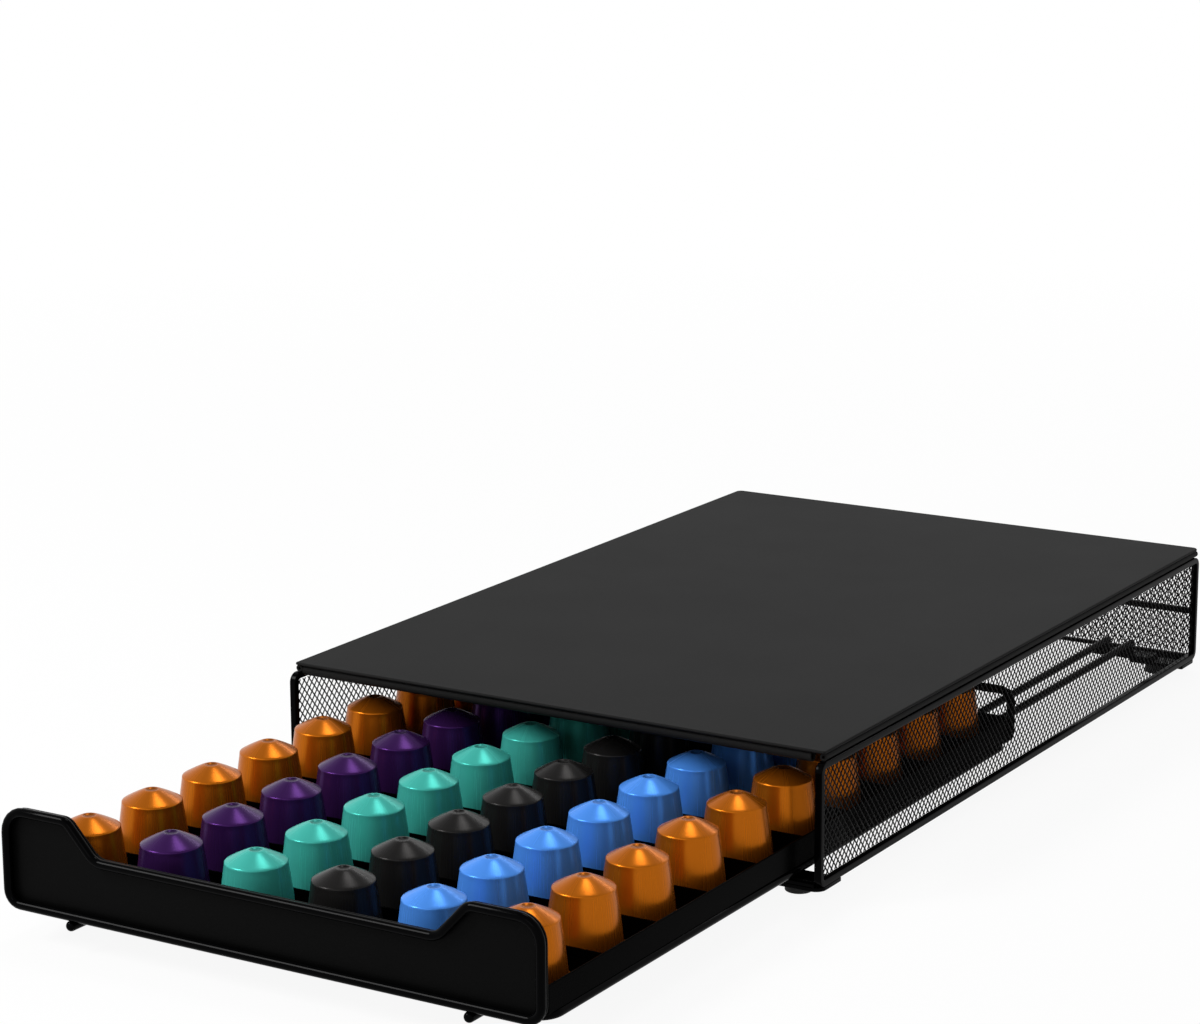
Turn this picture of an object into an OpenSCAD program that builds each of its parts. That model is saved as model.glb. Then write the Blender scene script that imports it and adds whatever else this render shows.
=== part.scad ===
// Coffee pod drawer: a low stand of black bar and expanded metal with a sliding wire drawer,
// whose sheet tray is parted into one cell per pod by two sets of half-slotted strips.
// Millimetres. X runs across, Y from front to back and Z up. The origin lies on the ground,
// midway across the stand and midway along it, with the drawer standing part open.

/* [Pods] */
// Height of a pod, standing on its rim
pod_h = 30.8; // [26:0.1:34]
// Diameter of a pod's rim
pod_rim_d = 37; // [34:0.5:40]
// Thickness of a pod's rim
pod_rim_t = 1.2; // [0.8:0.1:2]
// Diameter of a pod's body where it leaves the rim
pod_base_d = 31; // [27:0.5:33]
// Diameter of a pod's shoulder
pod_shoulder_d = 25.2; // [21:0.1:26.5]
// Drop from the tip of a pod to its shoulder
pod_cone_h = 4.7; // [4:0.1:8]
// Diameter of the flat disc at the tip
pod_tip_d = 8.8; // [5:0.1:10]
// Height of the flat disc above the cone
pod_tip_h = 0.5; // [0.3:0.1:1]
// Thickness of a pod's wall, drawn as heavy as the real foil with the coffee in it
pod_wall = 0.7; // [0.5:0.1:1.5]

/* [Tray] */
// Number of pod rows from front to back
pod_rows = 10; // [6:1:12]
// Rows left empty at the back of every column but the right-hand one
empty_rows = 2; // [0:1:4]
// Play of a pod's rim across its cell
cell_play_w = 4.2; // [2:0.1:6]
// Play of a pod's rim along its cell
cell_play_l = 2.1; // [1:0.1:4]
// Extra width of the cells along the tray's sides
side_play = 0.5; // [0:0.1:3]
// Extra length of the cells along the tray's front
front_play = 1.9; // [0:0.1:4]
// Thickness of the tray's sheet
tray_t = 1; // [0.8:0.1:1.5]
// Height of the tray, from its underside
tray_h = 11.3; // [8:0.1:14]
// Corner radius of the tray, seen from above
tray_corner_r = 2.5; // [2:0.1:4]
// Thickness of the dividing strips
divider_t = 0.8; // [0.6:0.1:1.2]
// Drop from the tray's rim to the top of the dividing strips
divider_drop = 0.8; // [0.4:0.1:2]
// Play of one strip in another strip's slot
slot_play = 0.3; // [0.2:0.1:0.5]

/* [Drawer frames] */
// Diameter of the rod of the front and back frames
rod_d = 4; // [3:0.1:5]
// Diameter of the rod of the bottom frame
loop_d = 3.6; // [3:0.1:5]
// How far the front and back frames stand out past the side of the tray
frame_over = 1.7; // [1.6:0.1:4]
// How far the bottom frame stands out past the side of the tray
loop_over = 1.1; // [0.5:0.1:1.5]
// Corner radius of the bottom frame, at its outer edge
loop_r = 11; // [8:0.5:16]
// Height of the back frame and of the middle of the front frame
drawer_h = 28.5; // [22:0.1:32]
// Gap between the tops of the front frame's ears and the deck
ear_gap = 4; // [2:0.1:6]
// Width of an ear's flat top, out to the side of the front frame
ear_w = 34.3; // [26:0.1:50]
// Run of the slope from an ear down to the middle
ear_run = 13.9; // [10:0.1:20]
// Radius of the front frame's outer top corners
ear_outer_r = 11.5; // [8:0.5:14]
// Radius at the inner end of an ear's top
ear_inner_r = 8; // [6:0.5:10]
// Radius of the hollow at the foot of the slope
ear_foot_r = 7; // [4:0.5:9]
// Radius of the lower corners of the front frame and all corners of the back frame
frame_r = 8; // [6:0.5:11]
// Thickness of the front panel
panel_t = 0.8; // [0.6:0.1:1.5]
// How far the front panel's edge lies inside the front frame's outer edge
panel_inset = 0.6; // [0.2:0.1:2]

/* [Slides] */
// Distance of a runner inside the side of the tray
runner_inset = 32; // [28:0.1:40]
// How far a runner's nose lies behind the drawer's front face
nose_inset = 0.4; // [0:0.1:1.5]
// Diameter of the twin track rods
track_d = 3.8; // [3.4:0.1:4.2]
// Spacing of the twin track rods, from centre to centre
track_pitch = 13.2; // [12.6:0.1:16]
// How far the track rods stop short of the housing's ends
track_inset = 4; // [3:0.5:7]
// Sliding gap above, below and behind the moving rods
slide_gap = 0.3; // [0.2:0.05:0.5]
// Full travel of the drawer
travel = 300; // [240:1:320]
// How far the drawer stands open
drawer_open = 203.6; // [0:0.1:300]
// Width of the keeper plates under the runners
keeper_w = 13; // [12:0.1:13.4]
// Length of the keeper plates
keeper_l = 12; // [8:0.5:20]
// Thickness of the keeper plates
keeper_t = 1.5; // [1:0.1:2]
// Width of the saddles that hold a runner on its keeper
keeper_saddle_w = 7; // [6:0.1:8]
// Width of the ties under the track rods, along the slide
tie_w = 11; // [8:0.5:14]
// Distance of a tie from the end of the housing
tie_inset = 8; // [6:0.5:12]
// Lap of a tie on its corner plate
tie_lap = 11; // [6:0.5:16]
// Width of the saddles that carry the track rods
saddle_w = 5; // [4.4:0.1:5.4]
// Height of a saddle up the side of its rod
saddle_rise = 0.7; // [0.4:0.1:1.2]

/* [Housing] */
// Thickness of the side frames' bar, across the housing
bar_t = 3.3; // [2.6:0.1:4.5]
// Width of the side frames' bar and height of the stop bar
bar_w = 2.9; // [2.4:0.1:4]
// Height of the front and rear bottom rails and of the ties
rail_h = 1.9; // [1.6:0.1:4]
// Rounding of the bars' edges
bar_edge_r = 0.5; // [0.3:0.1:0.9]
// Outer corner radius of the side frames
side_r = 4.4; // [4.2:0.1:8]
// Gap between the drawer's frames and the side frames
side_gap = 3.4; // [0.4:0.1:5]
// Depth of the stop bar across the back, along the slide
stop_d = 3; // [2.6:0.1:5]
// Height of the middle of the stop bar above the rear rail's underside
stop_rise = 25.6; // [20:0.1:32]
// Free height between the tips of the pods and the side frames' tops
headroom = 11.9; // [8:0.1:20]
// Thickness of the deck's sheet
deck_t = 1; // [0.8:0.1:1.5]
// Diameter of the roll round the deck's edge
roll_d = 4.5; // [3.4:0.1:5]
// Corner radius of the deck
deck_r = 5; // [5:0.5:12]
// How far the deck's edge lies inside the side of the housing
deck_side = 0.4; // [0:0.1:0.6]
// How far the deck's front edge lies behind the housing's front
deck_front = 3.5; // [0:0.1:4]

/* [Mesh] */
// Thickness of the expanded metal
mesh_t = 0.8; // [0.5:0.1:1]
// How far the rear mesh lies inside the housing's back
mesh_inset = 0.9; // [0.5:0.1:1.5]
// Length of a diamond of the mesh
mesh_cell_l = 11.4; // [10.8:0.1:16]
// Height of a diamond of the mesh
mesh_cell_h = 13.1; // [12.4:0.1:18]
// Width of the strands between the diamonds
mesh_strand = 1.6; // [1.2:0.1:2]

/* [Feet] */
// Length of a corner plate across the housing
plate_w = 29; // [24:0.5:29]
// Length of a corner plate along the housing
plate_l = 19; // [19:0.5:30]
// Thickness of a corner plate
plate_t = 1.8; // [1.5:0.1:3]
// Outer corner radius of a corner plate
plate_r = 5; // [3:0.5:8]
// Diameter of a rubber foot
foot_d = 12; // [9:0.5:16]
// Height of a rubber foot
foot_h = 4.8; // [2:0.1:8]
// Edge rounding of a rubber foot
foot_edge_r = 0.6; // [0.3:0.1:0.9]
// Distance of a foot's centre from the side of the housing
foot_side = 16.5; // [10:0.5:18]
// Distance of a foot's centre from the end of the housing
foot_end = 12; // [9:0.5:12.5]

/* [Hidden] */

$fn = 48;

// One column of cells for each colour of pod
pod_cols = 6;

// Radius of the flat left at the middle of a runner's rounded ends
nose_flat = 0.4;

// How far a cut runs past each face that it goes through
cut_past = 1;

// Cells and tray
cell_w = pod_rim_d + cell_play_w;
cell_l = pod_rim_d + cell_play_l;
col_pitch = cell_w + divider_t;
row_pitch = cell_l + divider_t;
cells_w = pod_cols * cell_w + (pod_cols - 1) * divider_t;
cells_l = pod_rows * cell_l + (pod_rows - 1) * divider_t;
tray_in_w = cells_w + 2 * side_play;
tray_in_l = cells_l + front_play;
tray_w = tray_in_w + 2 * tray_t;
tray_l = tray_in_l + 2 * tray_t;

// Drawer, measured from its front face
front_w = tray_w + 2 * frame_over;
tray_y = rod_d + panel_t;
drawer_l = tray_y + tray_l + rod_d;
runner_x = tray_w / 2 - runner_inset;

// A runner keeps the drawer and its keepers clear of the track rods, above and below them
runner_d = track_d + 2 * slide_gap;

// Housing, which is built round the drawer
housing_w = front_w + 2 * side_gap + 2 * bar_t;
stop_y = drawer_l + slide_gap;
housing_d = stop_y + stop_d + mesh_t + mesh_inset;

// Heights above the ground
plate_z = foot_h;
frame_z = plate_z + plate_t;
runner_z = frame_z + rail_h + slide_gap + runner_d / 2;
drawer_z = runner_z + runner_d / 2;
track_z = drawer_z - slide_gap - track_d / 2;
tray_z = drawer_z + loop_d;
floor_z = tray_z + tray_t;
divider_h = tray_h - tray_t - divider_drop;
side_top_z = floor_z + pod_h + headroom;
side_h = side_top_z - frame_z;
deck_z = side_top_z + roll_d;
ear_h = side_top_z - ear_gap - drawer_z;

// Places along the slide
drawer_y = -(housing_d + drawer_open) / 2;
housing_y = drawer_y + drawer_open;
keeper_y = tie_inset + tie_w + slide_gap + travel;

BLACK = [0.07, 0.07, 0.08];
DECK = [0.13, 0.13, 0.14];
MESH = [0.22, 0.22, 0.23];
RUBBER = [0.2, 0.2, 0.2];

// ---- Outlines: closed, counter-clockwise lists of corners, with a radius for each ----

function along(a, b) = (b - a) / norm(b - a);
function left_of(v) = [-v[1], v[0]];
function heading(v) = atan2(v[1], v[0]);
function before(pts, i) = pts[(i + len(pts) - 1) % len(pts)];
function after(pts, i) = pts[(i + 1) % len(pts)];
function coming(pts, i) = along(before(pts, i), pts[i]);
function going(pts, i) = along(pts[i], after(pts, i));

// Turn at a corner in degrees, positive to the left
function turn(pts, i) = let (u = coming(pts, i), v = going(pts, i))
    atan2(u[0] * v[1] - u[1] * v[0], u * v);

// Length that a bend takes from each of its two straights
function bend_run(pts, radii, i) = radii[i] * tan(abs(turn(pts, i)) / 2);

// Centre of a bend
function bend_centre(pts, radii, i) = let (u = coming(pts, i))
    pts[i] - u * bend_run(pts, radii, i) + left_of(u) * sign(turn(pts, i)) * radii[i];

// The same corners, moved inwards by d
function inset_corners(pts, d) = [for (i = [0:len(pts) - 1])
    let (n = left_of(coming(pts, i)), m = left_of(going(pts, i)))
    pts[i] + d * (n + m) / (1 + n * m)];

// Radii for the corners moved inwards by d
function inset_radii(pts, radii, d) = [for (i = [0:len(pts) - 1])
    radii[i] - sign(turn(pts, i)) * d];

// Points of the outline, with each corner as an arc of the given number of steps
function rounded(pts, radii, steps = 8) = [for (i = [0:len(pts) - 1], k = [0:steps])
    let (t = turn(pts, i),
         a = heading(coming(pts, i)) - 90 * sign(t) + t * k / steps)
    bend_centre(pts, radii, i) + radii[i] * [cos(a), sin(a)]];

// Corners of a rectangle w by l, centred across and starting at y
function box_corners(w, l, y = 0) = [[-w / 2, y], [w / 2, y], [w / 2, y + l], [-w / 2, y + l]];
function same_radii(pts, r) = [for (p = pts) r];

// ---- Bars and rods ----

// A round rod bent round a closed outline in the XY plane, as rings of flat-sided facets
module bent_rod(pts, radii, d, steps = 6, sides = 16) {
    rings = [for (i = [0:len(pts) - 1], k = [0:steps])
        let (t = turn(pts, i), a = heading(coming(pts, i)) - 90 * sign(t) + t * k / steps)
        [for (j = [0:sides - 1]) let (f = 360 * j / sides)
            [each bend_centre(pts, radii, i) + (radii[i] + sign(t) * d / 2 * cos(f)) * [cos(a), sin(a)],
             d / 2 * sin(f)]]];
    count = len(rings);
    polyhedron(
        points = [for (ring = rings) each ring],
        faces = [for (i = [0:count - 1], j = [0:sides - 1])
            let (a = i * sides, b = (i + 1) % count * sides, k = (j + 1) % sides)
            [a + j, b + j, b + k, a + k]]
    );
}

// A bar bent round a closed outline in the XY plane, with the section given as its child
module bent_loop(pts, radii) {
    for (i = [0:len(pts) - 1]) {
        t = turn(pts, i);
        v = going(pts, i);
        run = bend_run(pts, radii, i);
        next = bend_run(pts, radii, (i + 1) % len(pts));
        translate(bend_centre(pts, radii, i))
            rotate([0, 0, heading(coming(pts, i)) - 90 * sign(t) + min(t, 0)])
            rotate_extrude(angle = abs(t))
            translate([radii[i], 0])
            children();
        translate(pts[i] + v * run)
            rotate([0, 0, heading(v)])
            rotate([90, 0, 90])
            linear_extrude(norm(after(pts, i) - pts[i]) - run - next)
            children();
    }
}

// A bar section w by h with rounded edges, centred
module bar_section(w, h, r = bar_edge_r) {
    square([w - 2 * r, h], center = true);
    square([w, h - 2 * r], center = true);
    for (x = [-1, 1], y = [-1, 1])
        translate([x * (w / 2 - r), y * (h / 2 - r)]) circle(r);
}

// A straight bar across the housing, from its underside at z and its front face at y
module cross_bar(y, z, d, h) {
    translate([-(housing_w / 2 - bar_t), y + d / 2, z + h / 2])
        rotate([90, 0, 90])
        linear_extrude(housing_w - 2 * bar_t)
        bar_section(d, h);
}

// A rod along Y from y0 to y1 with rounded ends
module rod_along(x, y0, y1, z, d, end_r) {
    translate([x, y1, z])
        rotate([90, 0, 0])
        rotate_extrude()
        intersection() {
            bar_section_tall(d, y1 - y0, end_r);
            square([d, y1 - y0]);
        }
}

// Section w by h with rounded corners, standing on its lower edge and centred across
module bar_section_tall(w, h, r) {
    translate([0, h / 2]) bar_section(w, h, r);
}

module at_housing() translate([0, housing_y, 0]) children();
module at_drawer() translate([0, drawer_y, 0]) children();

// ---- Housing ----

module top_deck() {
    edge = box_corners(housing_w - 2 * deck_side, housing_d - deck_front, deck_front);
    edge_r = same_radii(edge, deck_r);
    color(DECK) at_housing() {
        translate([0, 0, deck_z - deck_t])
            linear_extrude(deck_t)
            polygon(rounded(inset_corners(edge, roll_d / 2), inset_radii(edge, edge_r, roll_d / 2)));
        translate([0, 0, deck_z - roll_d / 2])
            bent_loop(inset_corners(edge, roll_d / 2), inset_radii(edge, edge_r, roll_d / 2))
            circle(d = roll_d);
    }
}

// Side of the housing: corners in the YZ plane, as [y, z]
side_edge = [[0, frame_z], [housing_d, frame_z], [housing_d, side_top_z], [0, side_top_z]];
side_radii = same_radii(side_edge, side_r);

module side_frame(side) {
    color(BLACK) at_housing()
        translate([side * (housing_w - bar_t) / 2, 0, 0])
        rotate([90, 0, 90])
        bent_loop(inset_corners(side_edge, bar_w / 2), inset_radii(side_edge, side_radii, bar_w / 2))
        bar_section(bar_w, bar_t);
}
module side_frame_left() side_frame(-1);
module side_frame_right() side_frame(1);

// Expanded metal over the outline given by pts and radii, from [0, 0] to size
module net(pts, radii, origin, size) {
    half = [mesh_cell_l, mesh_cell_h] / 2;
    hole = half - mesh_strand * norm(half) / (2 * half[0] * half[1]) * half;
    cols = ceil(size[0] / half[0]);
    rows = ceil(size[1] / half[1]);
    difference() {
        polygon(rounded(pts, radii));
        intersection() {
            polygon(rounded(inset_corners(pts, mesh_strand), radii));
            for (i = [0:cols], j = [i % 2:2:rows])
                translate([origin[0] + i * half[0], origin[1] + j * half[1]])
                    polygon([[-hole[0], 0], [0, -hole[1]], [hole[0], 0], [0, hole[1]]]);
        }
    }
}

module side_mesh(side) {
    pane = inset_corners(side_edge, bar_w);
    color(MESH) at_housing()
        translate([side * (housing_w - bar_t) / 2 - mesh_t / 2, 0, 0])
        rotate([90, 0, 90])
        linear_extrude(mesh_t)
        net(pane, inset_radii(side_edge, side_radii, bar_w), pane[0], pane[2] - pane[0]);
}
module side_mesh_left() side_mesh(-1);
module side_mesh_right() side_mesh(1);

module front_bottom_rail() color(BLACK) at_housing() cross_bar(0, frame_z, bar_w, rail_h);

module rear_bottom_rail() color(BLACK) at_housing()
    cross_bar(housing_d - bar_w, frame_z, bar_w, rail_h);

// The drawer's back frame meets this bar when the drawer is shut
module rear_stop_bar() color(BLACK) at_housing()
    cross_bar(stop_y, frame_z + stop_rise - bar_w / 2, stop_d, bar_w);

module rear_mesh() {
    low = frame_z + rail_h;
    pane = box_corners(housing_w - 2 * bar_t, side_top_z - low, low);
    color(MESH) at_housing()
        translate([0, housing_d - mesh_inset, 0])
        rotate([90, 0, 0])
        linear_extrude(mesh_t)
        net(pane, same_radii(pane, bar_edge_r), pane[0], pane[2] - pane[0]);
}

// Moves a corner piece, made at the origin with the housing inwards at +X and +Y, to a corner
module at_corner(side, end) {
    at_housing()
        translate([side * housing_w / 2, end > 0 ? housing_d : 0, 0])
        mirror([side > 0 ? 1 : 0, 0, 0])
        mirror([0, end > 0 ? 1 : 0, 0])
        children();
}

module corner_plate(side, end) {
    pts = [[0, 0], [plate_w, 0], [plate_w, plate_l], [0, plate_l]];
    color(BLACK) at_corner(side, end)
        translate([0, 0, plate_z])
        linear_extrude(plate_t)
        polygon(rounded(pts, [plate_r, plate_t / 2, plate_t / 2, plate_t / 2]));
}
module corner_plate_front_left() corner_plate(-1, -1);
module corner_plate_front_right() corner_plate(1, -1);
module corner_plate_rear_left() corner_plate(-1, 1);
module corner_plate_rear_right() corner_plate(1, 1);

module rubber_foot(side, end) {
    color(RUBBER) at_corner(side, end)
        translate([foot_side, foot_end, 0])
        rotate_extrude()
        intersection() {
            bar_section_tall(foot_d, foot_h + foot_edge_r, foot_edge_r);
            square([foot_d, foot_h]);
        }
}
module rubber_foot_front_left() rubber_foot(-1, -1);
module rubber_foot_front_right() rubber_foot(1, -1);
module rubber_foot_rear_left() rubber_foot(-1, 1);
module rubber_foot_rear_right() rubber_foot(1, 1);

// Twin rods on each side, one each side of the runner's line
module track_rod(side, twin) {
    color(BLACK) at_housing()
        rod_along(side * runner_x + twin * track_pitch / 2,
                  track_inset, housing_d - track_inset, track_z, track_d, bar_edge_r);
}
module track_rod_left_outer() track_rod(-1, -1);
module track_rod_left_inner() track_rod(-1, 1);
module track_rod_right_inner() track_rod(1, -1);
module track_rod_right_outer() track_rod(1, 1);

// A tie lies on a corner plate and carries the ends of one pair of track rods
module track_tie(side, end) {
    middle = housing_w / 2 - runner_x;
    outer = plate_w - tie_lap;
    inner = middle + (track_pitch + saddle_w) / 2;
    color(BLACK) at_corner(side, end)
        translate([0, tie_inset, frame_z])
        difference() {
            union() {
                translate([outer, 0, 0]) cube([inner - outer, tie_w, rail_h]);
                for (twin = [-1, 1])
                    translate([middle + (twin * track_pitch - saddle_w) / 2, 0, 0])
                        cube([saddle_w, tie_w, track_z - track_d / 2 + saddle_rise - frame_z]);
            }
            for (twin = [-1, 1])
                translate([middle + twin * track_pitch / 2, -cut_past, track_z - frame_z])
                    rotate([-90, 0, 0])
                    cylinder(h = tie_w + 2 * cut_past, d = track_d);
        }
}
module track_tie_front_left() track_tie(-1, -1);
module track_tie_front_right() track_tie(1, -1);
module track_tie_rear_left() track_tie(-1, 1);
module track_tie_rear_right() track_tie(1, 1);

// ---- Drawer ----

// Outer edge of the front frame, in the XZ plane as [x, z above the drawer's underside]
ear_x = front_w / 2 - ear_w;
front_edge = [
    [-front_w / 2, 0], [front_w / 2, 0], [front_w / 2, ear_h], [ear_x, ear_h],
    [ear_x - ear_run, drawer_h], [ear_run - ear_x, drawer_h],
    [-ear_x, ear_h], [-front_w / 2, ear_h]
];
front_radii = [frame_r, frame_r, ear_outer_r, ear_inner_r,
               ear_foot_r, ear_foot_r, ear_inner_r, ear_outer_r];

// Stands an outline's plane upright at distance y behind the drawer's front face
module upright(y) {
    at_drawer() translate([0, y, drawer_z]) rotate([90, 0, 0]) children();
}

module front_frame() {
    color(BLACK) upright(rod_d / 2)
        bent_rod(inset_corners(front_edge, rod_d / 2), inset_radii(front_edge, front_radii, rod_d / 2),
                 rod_d);
}

// The panel lies against the back of the front frame's rod
module front_panel() {
    color(BLACK) upright(tray_y)
        linear_extrude(panel_t)
        polygon(rounded(inset_corners(front_edge, panel_inset),
                        inset_radii(front_edge, front_radii, panel_inset)));
}

module back_frame() {
    edge = box_corners(front_w, drawer_h);
    color(BLACK) upright(drawer_l - rod_d / 2)
        bent_loop(inset_corners(edge, rod_d / 2), same_radii(edge, frame_r - rod_d / 2))
        circle(d = rod_d);
}

module bottom_frame() {
    edge = box_corners(tray_w + 2 * loop_over, tray_l, tray_y);
    color(BLACK) at_drawer()
        translate([0, 0, drawer_z + loop_d / 2])
        bent_loop(inset_corners(edge, loop_d / 2), same_radii(edge, loop_r - loop_d / 2))
        circle(d = loop_d);
}

// Section of the tray's wall, standing on the floor, with a full-round top edge
module wall_section() {
    h = tray_h - tray_t / 2;
    translate([-tray_t / 2, 0]) square([tray_t, h]);
    translate([0, h]) circle(d = tray_t);
}

module tray() {
    edge = box_corners(tray_w, tray_l, tray_y);
    edge_r = same_radii(edge, tray_corner_r);
    color(BLACK) at_drawer() translate([0, 0, tray_z]) {
        linear_extrude(tray_t)
            polygon(rounded(inset_corners(edge, tray_t / 2), inset_radii(edge, edge_r, tray_t / 2)));
        bent_loop(inset_corners(edge, tray_t / 2), inset_radii(edge, edge_r, tray_t / 2))
            wall_section();
    }
}

// Places along a row of cells, measured from the middle of the cells, of the strips between them
function strip_places(count, pitch) = [for (i = [1:count - 1]) (i - count / 2) * pitch];
cross_places = strip_places(pod_rows, row_pitch);
long_places = strip_places(pod_cols, col_pitch);

module at_cells_middle() {
    at_drawer() translate([0, tray_y + tray_t + front_play + cells_l / 2, floor_z]) children();
}

// Strips across the tray, slotted from above down to half their height
module cross_dividers() {
    color(BLACK) at_cells_middle() for (y = cross_places)
        translate([0, y + divider_t / 2, 0])
        rotate([90, 0, 0])
        linear_extrude(divider_t)
        difference() {
            translate([-tray_in_w / 2, 0]) square([tray_in_w, divider_h]);
            for (x = long_places)
                translate([x - (divider_t + slot_play) / 2, divider_h / 2])
                    square([divider_t + slot_play, divider_h]);
        }
}

// Strips along the tray, slotted from below up to half their height
module lengthwise_dividers() {
    color(BLACK) at_cells_middle() for (x = long_places)
        translate([x - divider_t / 2, 0, 0])
        rotate([90, 0, 90])
        linear_extrude(divider_t)
        difference() {
            translate([-cells_l / 2 - front_play, 0]) square([tray_in_l, divider_h]);
            for (y = cross_places)
                translate([y - (divider_t + slot_play) / 2, -divider_h / 2])
                    square([divider_t + slot_play, divider_h]);
        }
}

module runner(side) {
    color(BLACK) at_drawer()
        rod_along(side * runner_x, nose_inset, drawer_l, runner_z, runner_d, runner_d / 2 - nose_flat);
}
module runner_left() runner(-1);
module runner_right() runner(1);

// A keeper reaches under both track rods and meets the front tie when the drawer is fully out
module runner_keeper(side) {
    color(BLACK) at_drawer()
        translate([side * runner_x, keeper_y, runner_z])
        difference() {
            union() {
                translate([-keeper_w / 2, 0, -runner_d / 2 - keeper_t])
                    cube([keeper_w, keeper_l, keeper_t]);
                translate([-keeper_saddle_w / 2, 0, -runner_d / 2 - keeper_t])
                    cube([keeper_saddle_w, keeper_l, keeper_t + runner_d / 3]);
            }
            translate([0, -cut_past, 0])
                rotate([-90, 0, 0])
                cylinder(h = keeper_l + 2 * cut_past, d = runner_d);
        }
}
module runner_keeper_left() runner_keeper(-1);
module runner_keeper_right() runner_keeper(1);

// ---- Pods ----

// A pod standing on its rim: a turned cup, mouth down, closed by the tray's floor
module pod() {
    shoulder_z = pod_h - pod_cone_h;
    cone_z = pod_h - pod_tip_h;
    rotate_extrude() polygon([
        [pod_base_d / 2 - pod_wall, 0], [pod_rim_d / 2, 0], [pod_rim_d / 2, pod_rim_t],
        [pod_base_d / 2, pod_rim_t], [pod_shoulder_d / 2, shoulder_z], [pod_tip_d / 2, cone_z],
        [pod_tip_d / 2, pod_h], [0, pod_h], [0, cone_z - pod_wall],
        [pod_tip_d / 2, cone_z - pod_wall], [pod_shoulder_d / 2 - pod_wall, shoulder_z - pod_wall / 2]
    ]);
}

// A column of pods, filled from the front
module pod_column(column, rows, tint) {
    color(tint) at_cells_middle() for (row = [0:rows - 1])
        translate([(column + 0.5 - pod_cols / 2) * col_pitch,
                   (row + 0.5 - pod_rows / 2) * row_pitch, 0])
        pod();
}
module pods_orange_left() pod_column(0, pod_rows - empty_rows, [0.72, 0.42, 0.06]);
module pods_purple() pod_column(1, pod_rows - empty_rows, [0.36, 0.2, 0.5]);
module pods_teal() pod_column(2, pod_rows - empty_rows, [0.18, 0.63, 0.56]);
module pods_charcoal() pod_column(3, pod_rows - empty_rows, [0.23, 0.22, 0.21]);
module pods_blue() pod_column(4, pod_rows - empty_rows, [0.23, 0.47, 0.85]);
module pods_orange_right() pod_column(5, pod_rows, [0.72, 0.42, 0.06]);

top_deck();
side_frame_left();
side_frame_right();
side_mesh_left();
side_mesh_right();
front_bottom_rail();
rear_bottom_rail();
rear_stop_bar();
rear_mesh();
corner_plate_front_left();
corner_plate_front_right();
corner_plate_rear_left();
corner_plate_rear_right();
rubber_foot_front_left();
rubber_foot_front_right();
rubber_foot_rear_left();
rubber_foot_rear_right();
track_rod_left_outer();
track_rod_left_inner();
track_rod_right_inner();
track_rod_right_outer();
track_tie_front_left();
track_tie_front_right();
track_tie_rear_left();
track_tie_rear_right();
front_frame();
front_panel();
back_frame();
bottom_frame();
tray();
cross_dividers();
lengthwise_dividers();
runner_left();
runner_right();
runner_keeper_left();
runner_keeper_right();
pods_orange_left();
pods_purple();
pods_teal();
pods_charcoal();
pods_blue();
pods_orange_right();
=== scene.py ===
"""A black steel drawer for coffee pods under a flat deck, dressed for a studio picture.

The frame gives every rigid piece its place.  This script lays fine expanded metal where
the frame has coarse nets, turns the pods in detail, rolls the hems under the deck, eases
the edges of the sheet and bar pieces, and paints everything.
"""

from __future__ import annotations

import logging
from abc import ABC, abstractmethod
from dataclasses import dataclass
from enum import Enum
from math import cos, dist, pi, radians, sin
from typing import Any, Iterable

import bmesh
import bpy
from mathutils import Matrix, Vector

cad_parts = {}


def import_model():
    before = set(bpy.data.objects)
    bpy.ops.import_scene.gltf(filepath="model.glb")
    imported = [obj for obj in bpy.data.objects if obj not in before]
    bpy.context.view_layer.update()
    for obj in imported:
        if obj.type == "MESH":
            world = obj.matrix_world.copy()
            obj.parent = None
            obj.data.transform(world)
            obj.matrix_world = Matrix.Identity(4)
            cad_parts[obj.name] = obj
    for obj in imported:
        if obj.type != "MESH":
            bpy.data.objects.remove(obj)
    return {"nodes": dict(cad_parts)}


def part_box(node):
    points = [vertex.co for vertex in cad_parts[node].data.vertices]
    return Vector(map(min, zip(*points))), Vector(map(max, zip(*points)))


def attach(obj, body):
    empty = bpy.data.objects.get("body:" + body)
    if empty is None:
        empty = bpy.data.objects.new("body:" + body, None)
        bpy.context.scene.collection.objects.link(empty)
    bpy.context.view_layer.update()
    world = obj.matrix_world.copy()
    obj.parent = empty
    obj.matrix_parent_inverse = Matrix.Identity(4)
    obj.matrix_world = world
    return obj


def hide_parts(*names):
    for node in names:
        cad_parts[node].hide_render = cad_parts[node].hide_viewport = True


log = logging.getLogger("pod_drawer")

MM = 0.001
SIZE_DIGITS = 6

# Points nearer than MERGE are one point, faces less than FLAT apart in angle are one face,
# and a ring of a turned shape that is narrower than POLE is its pole.
MERGE = 1e-6
FLAT = radians(0.3)
POLE = 1e-7

# How far the sharp edges of a piece are rounded, and in how many steps
PLATE_EASE = 0.25 * MM
SHEET_EASE = 0.2 * MM
STRIP_EASE = 0.15 * MM
EASE_STEPS = 2

Piece = bpy.types.Object
Socket = bpy.types.NodeSocket
Shape = bmesh.types.BMesh
Corner = bmesh.types.BMVert
Ring = list[Corner]
Pair = tuple[float, float]
Triple = tuple[float, float, float]
Colour = Triple
Points = list[Pair]
Offsets = tuple[Pair, ...]

WHITE: Colour = (1.0, 1.0, 1.0)
NO_LIGHT: Colour = (0.0, 0.0, 0.0)


# ---- Node trees ----


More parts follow.
